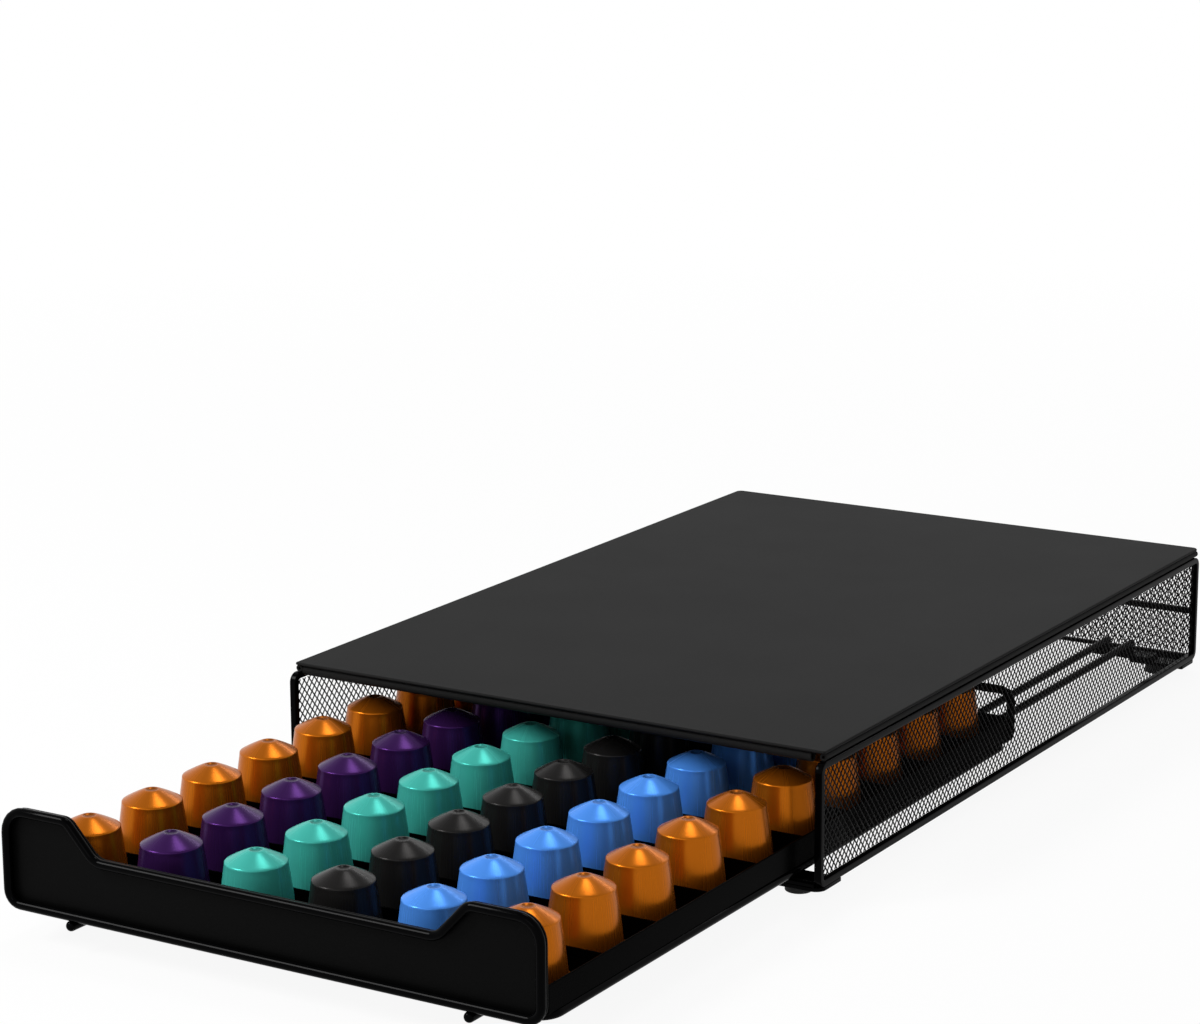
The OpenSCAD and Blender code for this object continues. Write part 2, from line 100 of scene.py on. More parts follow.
class Number:
    """A float socket that takes part in Python arithmetic."""

    def __init__(self, tree: Tree, socket: Socket) -> None:
        """Keeps the socket, and the tree that its Math nodes go into."""
        self.tree = tree
        self.socket = socket

    def math(self, operation: str, *others: Scalar) -> Number:
        """Adds one Math node, with this number first, and returns its result."""
        return self.tree.maths(operation, self, *others)

    def __add__(self, other: Scalar) -> Number:
        """Sum."""
        return self.math("ADD", other)

    def __radd__(self, other: float) -> Number:
        """Sum, the plain number first."""
        return self.math("ADD", other)

    def __sub__(self, other: Scalar) -> Number:
        """Difference."""
        return self.math("SUBTRACT", other)

    def __rsub__(self, other: float) -> Number:
        """Difference, the plain number first."""
        return self.tree.maths("SUBTRACT", other, self)

    def __mul__(self, other: Scalar) -> Number:
        """Product."""
        return self.math("MULTIPLY", other)

    def __rmul__(self, other: float) -> Number:
        """Product, the plain number first."""
        return self.math("MULTIPLY", other)

    def __truediv__(self, other: Scalar) -> Number:
        """Quotient."""
        return self.math("DIVIDE", other)

    def __rtruediv__(self, other: float) -> Number:
        """Quotient, the plain number first."""
        return self.tree.maths("DIVIDE", other, self)

    def __pow__(self, other: Scalar) -> Number:
        """Power."""
        return self.math("POWER", other)

    def __abs__(self) -> Number:
        """Size without its sign."""
        return self.math("ABSOLUTE")

    def __gt__(self, other: Scalar) -> Number:
        """1 where it is greater, otherwise 0."""
        return self.math("GREATER_THAN", other)

    def at_least(self, other: Scalar) -> Number:
        """The larger of the two."""
        return self.math("MAXIMUM", other)

    def at_most(self, other: Scalar) -> Number:
        """The smaller of the two."""
        return self.math("MINIMUM", other)

    def clamped(self) -> Number:
        """The number, kept between 0 and 1."""
        return self.at_least(0.0).at_most(1.0)

    def mixed(self, other: Number, share: float) -> Number:
        """A mix of the two, with this share of the other."""
        return self * (1.0 - share) + other * share

    def swing(self) -> Number:
        """How far a noise from 0 to 1 is from its middle."""
        return self - 0.5

    def root(self) -> Number:
        """Square root."""
        return self.math("SQRT")


Scalar = Number | float


class Tree:
    """A node tree that is filled from Python."""

    def __init__(self, tree: bpy.types.NodeTree) -> None:
        """Empties the tree that it is to fill."""
        self.tree = tree
        self.tree.nodes.clear()

    def node(
        self,
        kind: str,
        settings: dict[str, Any] | None = None,
        inputs: dict[str | int, Any] | None = None,
    ) -> bpy.types.Node:
        """Adds any node.

        Args:
            kind: The node's type name.
            settings: Its properties, set first; "stops" holds a ramp's (place, grey) pairs.
            inputs: Values or links by socket identifier, name or place.

        Returns:
            The new node.
        """
        made = self.tree.nodes.new(kind)
        for name, value in (settings or {}).items():
            if name == "stops":
                self._set_stops(made.color_ramp, value)
            else:
                setattr(made, name, value)
        for name, value in (inputs or {}).items():
            self._feed(self.socket(made.inputs, name), value)
        return made

    @staticmethod
    def _set_stops(ramp: bpy.types.ColorRamp, stops: Points) -> None:
        """Gives a ramp its grey stops.

        Args:
            ramp: A new ramp, which has two stops.
            stops: Pairs of (place, grey).
        """
        while len(ramp.elements) < len(stops):
            ramp.elements.new(0.5)
        for element, (place, grey) in zip(ramp.elements, stops):
            element.position = place
            element.color = (grey, grey, grey, 1.0)

    @staticmethod
    def socket(
        sockets: Iterable[Socket], name: str | int
    ) -> Socket:
        """Finds a socket by its place, identifier or name.

        Args:
            sockets: A node's inputs or outputs.
            name: What to look for.

        Returns:
            The first socket that fits.
        """
        listed = list(sockets)
        if isinstance(name, int):
            return listed[name]
        for attribute in ("identifier", "name"):
            for socket in listed:
                if getattr(socket, attribute) == name:
                    return socket
        raise KeyError(f"no socket {name!r} among {[s.name for s in listed]}")

    def _feed(self, socket: Socket, value: Any) -> None:
        """Links a socket to another, or sets its value.

        Args:
            socket: The input.
            value: A Number, a socket, a colour of three numbers, or the socket's own kind.
        """
        if isinstance(value, Number):
            value = value.socket
        if isinstance(value, Socket):
            self.tree.links.new(value, socket)
        elif isinstance(value, (tuple, list)) and len(value) == 3 and socket.type == "RGBA":
            socket.default_value = (*value, 1.0)
        else:
            socket.default_value = value

    def maths(self, operation: str, *operands: Scalar) -> Number:
        """Adds one Math node and returns its result."""
        made = self.node("ShaderNodeMath", {"operation": operation}, dict(enumerate(operands)))
        return Number(self, made.outputs[0])

    def parts(self, vector: Socket) -> tuple[Number, Number, Number]:
        """The three numbers of a vector."""
        made = self.node("ShaderNodeSeparateXYZ", inputs={0: vector})
        return tuple(Number(self, out) for out in made.outputs)  # type: ignore[return-value]

    def vector(self, x: Scalar, y: Scalar, z: Scalar) -> Socket:
        """A vector of three numbers."""
        return self.node("ShaderNodeCombineXYZ", inputs={0: x, 1: y, 2: z}).outputs[0]


class ShaderTree(Tree):
    """The tree of one material."""

    def __init__(self, material: bpy.types.Material) -> None:
        """Opens the material's own tree and adds its output."""
        material.use_nodes = True
        super().__init__(material.node_tree)
        self.output = self.node("ShaderNodeOutputMaterial")

    def place(self, which: str = "Object") -> Socket:
        """Object coordinates in metres, or the piece's own "UV"."""
        return self.node("ShaderNodeTexCoord").outputs[which]

    def noise(
        self, place: Socket, grain: float, detail: float = 2.0, rough: float = 0.5
    ) -> Number:
        """Cloudy noise from 0 to 1.

        Args:
            place: The coordinates that it reads.
            grain: The size of one cloud, in the coordinates' own unit.
            detail: How many finer layers lie over it.
            rough: How strong the finer layers are.

        Returns:
            The noise's value.
        """
        made = self.node(
            "ShaderNodeTexNoise",
            {"noise_dimensions": "3D"},
            {"Vector": place, "Scale": 1.0 / grain, "Detail": detail, "Roughness": rough},
        )
        return Number(self, made.outputs[0])

    def blend(self, amount: Scalar, low: Any, high: Any) -> Socket:
        """A colour between two colours.

        Args:
            amount: How much of the second colour there is, from 0 to 1.
            low: The first colour, or a socket that gives it.
            high: The second.

        Returns:
            The blended colour.
        """
        made = self.node(
            "ShaderNodeMix",
            {"data_type": "RGBA", "clamp_factor": True},
            {"Factor_Float": amount, "A_Color": low, "B_Color": high},
        )
        return self.socket(made.outputs, "Result_Color")

    def ramp(self, value: Number, stops: Points) -> Number:
        """A number led through a ramp of grey stops."""
        made = self.node("ShaderNodeValToRGB", {"stops": stops}, {0: value})
        return Number(self, made.outputs[0])

    def bump(self, height: Number, depth: float, strength: float = 1.0) -> Socket:
        """A normal that is tilted by a height.

        Args:
            height: The height, from 0 to 1.
            depth: What a height of 1 is, in metres.
            strength: How much of the tilt is used.

        Returns:
            The normal.
        """
        return self.node(
            "ShaderNodeBump", inputs={"Strength": strength, "Distance": depth, "Height": height}
        ).outputs[0]

    def surface(self, **inputs: Any) -> None:
        """Adds the Principled shader with these inputs and joins it to the output."""
        shader = self.node(
            "ShaderNodeBsdfPrincipled",
            inputs={name.replace("_", " "): value for name, value in inputs.items()},
        )
        self._feed(self.output.inputs["Surface"], shader.outputs[0])


class GeometryTree(Tree):
    """A Geometry Nodes tree with named inputs."""

    KINDS = {float: "NodeSocketFloat", int: "NodeSocketInt", None: "NodeSocketMaterial"}

    def __init__(self, name: str) -> None:
        """Makes an empty tree that takes and gives a geometry."""
        super().__init__(bpy.data.node_groups.new(name, "GeometryNodeTree"))
        for way in ("INPUT", "OUTPUT"):
            sockets = self.tree.interface
            sockets.new_socket("Geometry", in_out=way, socket_type="NodeSocketGeometry")
        self.given = self.node("NodeGroupInput")
        self.result = self.node("NodeGroupOutput")

    @property
    def shape(self) -> Socket:
        """The geometry that the modified object has."""
        return self.given.outputs["Geometry"]

    def ask(self, name: str, kind: type | None = float) -> Number:
        """Adds a named input, a material if the kind is None, and returns its value."""
        self.tree.interface.new_socket(name, in_out="INPUT", socket_type=self.KINDS[kind])
        return Number(self, self.given.outputs[name])

    def finish(self, geometry: Socket) -> None:
        """Makes the instances real, paints them and ends the tree."""
        material = self.ask("Material", None)
        real = self.node("GeometryNodeRealizeInstances", inputs={"Geometry": geometry})
        painted = self.node(
            "GeometryNodeSetMaterial", inputs={"Geometry": real.outputs[0], "Material": material}
        )
        self._feed(self.result.inputs["Geometry"], painted.outputs[0])

    def grow(self, piece: Piece, **values: Any) -> Piece:
        """Runs the tree on a piece and keeps the result as its plain mesh.

        Args:
            piece: The object whose mesh is the tree's geometry.
            values: The named inputs, with _ for a space.

        Returns:
            The same object with its new mesh and no modifier.
        """
        modifier = piece.modifiers.new(self.tree.name, "NODES")
        modifier.node_group = self.tree
        for item in self.tree.interface.items_tree:
            name = item.name.replace(" ", "_")
            if item.in_out == "INPUT" and name in values:
                modifier[item.identifier] = values[name]
        return bake_modifiers(piece)


# ---- Mesh helpers ----


def new_piece(name: str, shape: Shape) -> Piece:
    """Turns a bmesh into an object in the scene.

    Args:
        name: The object's name.
        shape: Its mesh, which is freed.

    Returns:
        The object, at the origin.
    """
    mesh = bpy.data.meshes.new(name)
    shape.to_mesh(mesh)
    shape.free()
    piece = bpy.data.objects.new(name, mesh)
    bpy.context.scene.collection.objects.link(piece)
    return piece


def bake_modifiers(piece: Piece) -> Piece:
    """Turns a piece and its modifiers into a plain mesh.

    Args:
        piece: The object, at the origin.

    Returns:
        The same object without modifiers.
    """
    graph = bpy.context.evaluated_depsgraph_get()
    mesh = bpy.data.meshes.new_from_object(
        piece.evaluated_get(graph), preserve_all_data_layers=True, depsgraph=graph
    )
    piece.modifiers.clear()
    old = piece.data
    piece.data = mesh
    bpy.data.meshes.remove(old)
    return piece


def shade_round(piece: Piece, crease: float) -> None:
    """Shades a piece smooth except over its creases.

    Args:
        piece: The object.
        crease: The angle in degrees above which an edge stays sharp.
    """
    mesh = piece.data
    mesh.polygons.foreach_set("use_smooth", [True] * len(mesh.polygons))
    mesh.set_sharp_from_angle(angle=radians(crease))


def eased_copy(source: Piece, ease: float, crease: float = 25.0) -> Piece:
    """Copies a node of the frame with its sharp edges rounded.

    Args:
        source: The node's object.
        ease: The radius of the rounding in metres; 0 only smooths the shading.
        crease: The angle in degrees above which an edge is sharp.

    Returns:
        The copy, which stands for the node.
    """
    shape = bmesh.new()
    shape.from_mesh(source.data)
    bmesh.ops.remove_doubles(shape, verts=shape.verts, dist=MERGE)
    bmesh.ops.dissolve_limit(shape, angle_limit=FLAT, verts=shape.verts, edges=shape.edges)
    piece = new_piece(f"{source.name}_piece", shape)
    piece.data.materials.clear()
    attributes = piece.data.attributes
    if "custom_normal" in attributes:
        attributes.remove(attributes["custom_normal"])
    shade_round(piece, crease)
    if ease > 0:
        bevel = piece.modifiers.new("ease", "BEVEL")
        bevel.width = ease
        bevel.segments = EASE_STEPS
        bevel.limit_method = "ANGLE"
        bevel.angle_limit = radians(crease)
        bevel.harden_normals = True
        bevel.use_clamp_overlap = True
        bake_modifiers(piece)
    return piece


def circle(radius: float, sides: int) -> Points:
    """Points round a circle."""
    turns = (2 * pi * k / sides for k in range(sides))
    return [(radius * cos(turn), radius * sin(turn)) for turn in turns]


def turned(outline: Points, sides: int) -> Shape:
    """Turns an outline about the Z axis, with a UV map of turn and height.

    Args:
        outline: Points of (radius, height) in metres, from pole to pole.
        sides: How many faces go round.

    Returns:
        The closed mesh.
    """
    shape = bmesh.new()
    rings: list[Ring] = []
    for radius, height in outline:
        if radius < POLE:
            rings.append([shape.verts.new((0.0, 0.0, height))] * sides)
            continue
        rings.append([shape.verts.new((x, y, height)) for x, y in circle(radius, sides)])
    layer = shape.loops.layers.uv.new("UVMap")
    steps = [dist(a, b) for a, b in zip(outline, outline[1:])]
    reach = [sum(steps[:k]) / sum(steps) for k in range(len(outline))]
    for k, (low, high) in enumerate(zip(rings, rings[1:])):
        for side in range(sides):
            after = (side + 1) % sides
            # A pole stands for all of its ring, so each corner is taken once.
            corners: dict[Corner, tuple[int, int]] = {}
            for corner, turn, ring in (
                (low[side], side, k),
                (low[after], side + 1, k),
                (high[after], side + 1, k + 1),
                (high[side], side, k + 1),
            ):
                corners.setdefault(corner, (turn, ring))
            face = shape.faces.new(corners)
            face.smooth = True
            for loop, (turn, ring) in zip(face.loops, corners.values()):
                loop[layer].uv = (turn / sides, reach[ring])
    return shape


def offset(start: Pair, offsets: Offsets) -> Points:
    """Points at offsets in millimetres from a starting point in metres."""
    return [(start[0] + x * MM, start[1] + y * MM) for x, y in offsets]


def band(shape: Shape, first: Ring, second: Ring) -> None:
    """Joins two rings of corners with a closed band of faces.

    Args:
        shape: The mesh that the corners are in.
        first: One ring.
        second: The other, with as many corners.
    """
    for k in range(len(first)):
        after = (k + 1) % len(first)
        shape.faces.new((first[k], second[k], second[after], first[after]))


# ---- Finishes ----


@dataclass(frozen=True)
class Finish(ABC):
    """A surface finish, which makes its material once.

    In its kinds, a share or relief is how much of a fine noise is in the colour or the normal,
    and a spread is how far the roughness swings.
    """

    name: str
    slot: str

    def material(self) -> bpy.types.Material:
        """The finish's material, made at its first use."""
        found = bpy.data.materials.get(self.name)
        if found is None:
            found = bpy.data.materials.new(self.name)
            self.paint(ShaderTree(found))
        return found

    @abstractmethod
    def paint(self, tree: ShaderTree) -> None:
        """Fills the material's tree."""


@dataclass(frozen=True)
class BlackCoat(Finish):
    """A black finish between two colours, with a shallow relief."""

    dark: Colour
    light: Colour
    roughness: float
    depth: float
    shine: float

    def coat(self, tree: ShaderTree, mottle: Number, wear: Number, relief: Number) -> None:
        """Adds the surface.

        Args:
            tree: The material's tree.
            mottle: Where the colour is, from dark to light.
            wear: How much rougher the surface is.
            relief: The height in its normal, from 0 to 1.
        """
        tree.surface(
            Base_Color=tree.blend(mottle, self.dark, self.light),
            Roughness=self.roughness + wear,
            Specular_IOR_Level=self.shine,
            Normal=tree.bump(relief, self.depth),
        )


@dataclass(frozen=True)
class PowderCoat(BlackCoat):
    """Baked black powder on sheet steel: a fine grain, with faint clouds in its sheen."""

    roughness: float = 0.5
    depth: float = 0.03 * MM
    shine: float = 0.2
    grain: float = 0.7 * MM
    cloud: float = 55 * MM
    speckle_range: Pair = (0.35, 0.75)
    speckle_share: float = 0.6
    cloud_spread: float = 0.08
    grain_spread: float = 0.06

    def paint(self, tree: ShaderTree) -> None:
        """Grain in the normal, clouds in the roughness, both in the colour."""
        place = tree.place()
        grain = tree.noise(place, self.grain, detail=3.0)
        clouds = tree.noise(place, self.cloud, detail=4.0, rough=0.6)
        low, high = self.speckle_range
        speckle = tree.ramp(grain, [(low, 0.0), (high, 1.0)])
        mottle = clouds.mixed(speckle, self.speckle_share)
        wear = clouds.swing() * self.cloud_spread + grain.swing() * self.grain_spread
        self.coat(tree, mottle, wear, grain)


@dataclass(frozen=True)
class Enamel(BlackCoat):
    """Dipped black enamel on bars and rods: glossy, with the soft waves of a thick coat."""

    dark: Colour = (0.0003, 0.0003, 0.0004)
    light: Colour = (0.0009, 0.0009, 0.0011)
    roughness: float = 0.1
    depth: float = 0.006 * MM
    shine: float = 0.024
    wave: float = 2.5 * MM
    pore: float = 0.35 * MM
    patch: float = 18 * MM
    pore_share: float = 0.3
    patch_spread: float = 0.1
    pore_spread: float = 0.05
    pore_relief: float = 0.2

    def paint(self, tree: ShaderTree) -> None:
        """Waves in the normal, thin dull patches in the roughness."""
        place = tree.place()
        waves = tree.noise(place, self.wave, detail=1.0)
        pores = tree.noise(place, self.pore, detail=2.0)
        patches = tree.noise(place, self.patch, detail=3.0)
        wear = patches.swing() * self.patch_spread + pores.swing() * self.pore_spread
        relief = waves.mixed(pores, self.pore_relief)
        self.coat(tree, patches.mixed(pores, self.pore_share), wear, relief)


@dataclass(frozen=True)
class FootRubber(BlackCoat):
    """Black moulded rubber: matt, with a fine sandy skin and a bloom of grey."""

    dark: Colour = (0.006, 0.006, 0.006)
    light: Colour = (0.02, 0.02, 0.02)
    roughness: float = 0.72
    depth: float = 0.03 * MM
    shine: float = 0.3
    sand: float = 0.25 * MM
    bloom: float = 4 * MM
    sand_share: float = 0.3
    sand_spread: float = 0.12

    def paint(self, tree: ShaderTree) -> None:
        """A sandy skin over broad grey patches."""
        place = tree.place()
        sand = tree.noise(place, self.sand, detail=2.0)
        bloom = tree.noise(place, self.bloom, detail=3.0)
        mottle = bloom.mixed(sand, self.sand_share)
        self.coat(tree, mottle, sand.swing() * self.sand_spread, sand)


@dataclass(frozen=True)
class Anodised(Finish):
    """Dyed anodised aluminium, drawn into a cup: fine streaks run up its wall.

    Attributes:
        streak, band: How closely they lie round the pod and along its outline.
        shoulder, fade: Where on the outline the streaks have faded out, and over what share.
        tip, tip_painted_shade: Where the sunken tip begins on it, and how much painted shade
            darkens its colour there.
    """

    body: Colour
    bright: Colour
    metal: float
    roughness: float = 0.27
    streak: Pair = (25.0, 2.5)
    band: Pair = (3.5, 0.8)
    grain: float = 0.12 * MM
    shoulder: float = 0.78
    fade: float = 0.08
    tip: float = 0.955
    tip_painted_shade: float = 0.45
    spread: float = 0.03
    grain_relief: float = 0.3
    depth: float = 0.0025 * MM
    strength: float = 0.5
    shine: float = 0.05

    @classmethod
    def dyed(cls, dye: str, body: Colour, bright: Colour, metal: float = 0.55) -> Anodised:
        """The finish of one dye."""
        return cls(f"anodised_{dye}", f"pod_{dye}", body, bright, metal)

    def paint(self, tree: ShaderTree) -> None:
        """Streaks along the UV map's height in the colour, roughness and normal, and painted
        shade on the sunken tip.
        """
        turn, height, _ = tree.parts(tree.place("UV"))
        angle = turn * (2 * pi)
        x, y = angle.math("COSINE"), angle.math("SINE")
        streaks, bands = (
            tree.noise(tree.vector(x * around, y * around, height * along), 1.0, detail=detail)
            for (around, along), detail in ((self.streak, 3.0), (self.band, 2.0))
        )
        grain = tree.noise(tree.place(), self.grain, detail=1.0)
        wall = ((self.shoulder - height) / self.fade).clamped()
        coloured = tree.blend(streaks.mixed(bands, 0.5), self.body, self.bright)
        # Painted shade: the colour of the sunken tip is darkened towards black.
        painted_dimple_shade = (height > self.tip) * self.tip_painted_shade
        wear = streaks.swing() * wall * self.spread + bands.swing() * self.spread
        relief = (streaks * wall).mixed(grain, self.grain_relief)
        tree.surface(
            Base_Color=tree.blend(painted_dimple_shade, coloured, NO_LIGHT),
            Metallic=self.metal,
            Roughness=self.roughness + wear,
            Specular_IOR_Level=self.shine,
            Normal=tree.bump(relief, self.depth, self.strength),
        )


class Black(Enum):
    """The black finishes of the steel and rubber."""

    DECK = PowderCoat(
        "deck_powder_coat", "deck_black", dark=(0.012,) * 3, light=(0.016,) * 3, shine=0.018
    )
    # The tray and its dividers wear a darker copy of the sheet black that the front panel also
    # has; its extra darkness is painted shade.
    SHEET = PowderCoat(
        "sheet_powder_coat",
        "sheet_black",
        dark=(0.0007,) * 3,
        light=(0.0014,) * 3,
        roughness=0.24,
        shine=0.006,
        depth=0.008 * MM,
    )
    PANEL = PowderCoat(
        "panel_powder_coat",
        "sheet_black",
        dark=(0.0014,) * 3,
        light=(0.0024,) * 3,
        roughness=0.45,
        shine=0.03,
    )
    BAR = Enamel("bar_enamel", "frame_black")
    NET = Enamel("net_enamel", "mesh_black", roughness=0.3, wave=1.0 * MM, shine=0.05)
    RUBBER = FootRubber("foot_rubber_skin", "foot_rubber")


class PodColour(Enum):
    """The dyes of the pods."""

    ORANGE = Anodised.dyed("orange", (0.41, 0.105, 0.004), (0.48, 0.128, 0.006), 0.65)
    PURPLE = Anodised.dyed("purple", (0.036, 0.009, 0.075), (0.046, 0.012, 0.088))
    TEAL = Anodised.dyed("teal", (0.048, 0.42, 0.355), (0.062, 0.46, 0.39), 0.25)
    CHARCOAL = Anodised.dyed("charcoal", (0.0145, 0.0138, 0.0135), (0.019, 0.018, 0.0175))
    BLUE = Anodised.dyed("blue", (0.065, 0.262, 0.8), (0.085, 0.3, 0.87), 0.25)


# ---- Sub-assemblies ----


def stand_in(piece: Piece, node: str, body: str, finish: Finish) -> None:
    """Lets a finished piece stand for a node of the frame, and logs it.

    Args:
        piece: The piece, painted and in place.
        node: The node.
        body: The body that it moves with.
        finish: What it is painted with.
    """
    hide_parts(node)
    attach(piece, body)
    log.info("%s: %d faces on %s, %s", piece.name, len(piece.data.polygons), body, finish.name)


@dataclass
class Assembly:
    """Pieces of the frame that one body carries, by node, with their ease and finish."""

    body: str
    eased: dict[str, tuple[float, Black]]

    def dress(self, nodes: dict[str, Piece]) -> None:
        """Makes an eased copy of each node and lets it stand for the node.

        Args:
            nodes: The frame's objects by node.
        """
        for node, (ease, black) in self.eased.items():
            piece = eased_copy(nodes[node], ease)
            piece.data.materials.append(black.value.material())
            stand_in(piece, node, self.body, black.value)


class Face(Enum):
    """The way that a net faces, as the matrix from its own plane to the frame."""

    SIDE = Matrix(((0, 0, 1, 0), (1, 0, 0, 0), (0, 1, 0, 0), (0, 0, 0, 1)))
    REAR = Matrix(((1, 0, 0, 0), (0, 0, -1, 0), (0, 1, 0, 0), (0, 0, 0, 1)))


@dataclass
class ExpandedMetal:
    """Fine expanded metal: slit sheet drawn out into diamonds, held in a frame.

    Attributes:
        strand_flat: The flat share of a strand's width.
        twist: How far a strand leans out of the sheet, in degrees.
        lozenge: A knuckle's half width, height and thickness, as shares of the strand's.
        spare: How many rows and columns are laid past the frame and cut off.
    """

    diamond_w: float = 3.79 * MM
    diamond_h: float = 4.37 * MM
    strand_w: float = 0.6 * MM
    strand_t: float = 0.5 * MM
    strand_flat: float = 0.6
    twist: float = 24.0
    lozenge: Triple = (0.62, 0.95, 0.4)
    corner: float = 3.4 * MM
    spare: int = 2
    body: str = "housing"
    finish: Finish = Black.NET.value

    def strand(self, shape: Shape, lean: int) -> None:
        """Adds one strand through a knuckle: a six-sided bar, twisted out of the plane.

        Args:
            shape: The mesh that it goes into.
            lean: 1 for the strand that rises to the right, -1 for the other.
        """
        along = Vector((self.diamond_w / 4, lean * self.diamond_h / 4, 0))
        tilt = Matrix.Rotation(radians(lean * self.twist), 3, along.normalized())
        across = tilt @ Vector((-along.y, along.x, 0)).normalized()
        out = tilt @ Vector((0, 0, 1))
        w, t = self.strand_w / 2, self.strand_t / 2
        flat = w * self.strand_flat
        section = [(w, 0), (flat, t), (-flat, t), (-w, 0), (-flat, -t), (flat, -t)]
        ends = [
            [shape.verts.new(side * along + across * a + out * b) for a, b in section]
            for side in (-1, 1)
        ]
        band(shape, *ends)

    def knuckle(self, shape: Shape) -> None:
        """Adds the unslit lozenge where two strands meet."""
        sizes = (self.strand_w, self.strand_w, self.strand_t)
        w, h, t = (size * share for size, share in zip(sizes, self.lozenge))
        corners = [(w, h / 3), (0, h), (-w, h / 3), (-w, -h / 3), (0, -h), (w, -h / 3)]
        layers = [[shape.verts.new((x, y, z)) for x, y in corners] for z in (-t, t)]
        shape.faces.new(layers[1])
        shape.faces.new(layers[0][::-1])
        band(shape, layers[1], layers[0])

    def link(self, name: str) -> Piece:
        """One knuckle with its four half strands."""
        shape = bmesh.new()
        self.strand(shape, 1)
        self.strand(shape, -1)
        self.knuckle(shape)
        bmesh.ops.recalc_face_normals(shape, faces=shape.faces)
        return new_piece(name, shape)

    def tree(self) -> GeometryTree:
        """The tree that repeats the link over a sheet with rounded corners."""
        tree = GeometryTree("expanded_metal")
        length, height = tree.ask("Length"), tree.ask("Height")
        pitch_w, pitch_h = tree.ask("Diamond width"), tree.ask("Diamond height")
        corner = tree.ask("Corner radius")
        columns = (length / pitch_w).math("CEIL") + self.spare
        rows = (height / pitch_h).math("CEIL") + self.spare
        both = tree.node("GeometryNodeJoinGeometry")
        for shift in (0.0, 0.5):
            grid = tree.node(
                "GeometryNodeMeshGrid",
                inputs={
                    "Size X": (columns - 1) * pitch_w,
                    "Size Y": (rows - 1) * pitch_h,
                    "Vertices X": columns,
                    "Vertices Y": rows,
                },
            )
            way = tree.vector(pitch_w * shift, pitch_h * shift, 0.0)
            moved = tree.node(
                "GeometryNodeTransform", inputs={"Geometry": grid.outputs[0], "Translation": way}
            )
            tree.tree.links.new(moved.outputs[0], both.inputs[0])
        x, y, _ = tree.parts(tree.node("GeometryNodeInputPosition").outputs[0])
        over_x = abs(x) - (length / 2 - corner)
        over_y = abs(y) - (height / 2 - corner)
        past = (over_x.at_least(0.0) ** 2.0 + over_y.at_least(0.0) ** 2.0).root()
        inside = over_x.at_least(over_y).at_most(0.0)
        cut = tree.node(
            "GeometryNodeDeleteGeometry",
            {"domain": "POINT", "mode": "ALL"},
            {"Geometry": both.outputs[0], "Selection": past + inside > corner},
        )
        links = tree.node(
            "GeometryNodeInstanceOnPoints",
            inputs={"Points": cut.outputs[0], "Instance": tree.shape},
        )
        tree.finish(links.outputs[0])
        return tree

    def lay(self, tree: GeometryTree, node: str, face: Face) -> None:
        """Lays one net where a node of the frame is.

        Args:
            tree: The tree that repeats the link.
            node: The node that the net stands for.
            face: The way that it faces.
        """
        low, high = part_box(node)
        centre, size = (low + high) / 2, high - low
        length = (size.y if face is Face.SIDE else size.x) - self.diamond_w / 2
        piece = tree.grow(
            self.link(f"{node}_fine"),
            Length=length,
            Height=size.z - self.diamond_h / 2,
            Diamond_width=self.diamond_w,
            Diamond_height=self.diamond_h,
            Corner_radius=self.corner,
            Material=self.finish.material(),
        )
        piece.data.transform(Matrix.Translation(centre) @ face.value)
        stand_in(piece, node, self.body, self.finish)

    def dress(self) -> None:
        """Lays the nets of both sides and the rear."""
        tree = self.tree()
        self.lay(tree, "side_mesh_left", Face.SIDE)
        self.lay(tree, "side_mesh_right", Face.SIDE)
        self.lay(tree, "rear_mesh", Face.REAR)


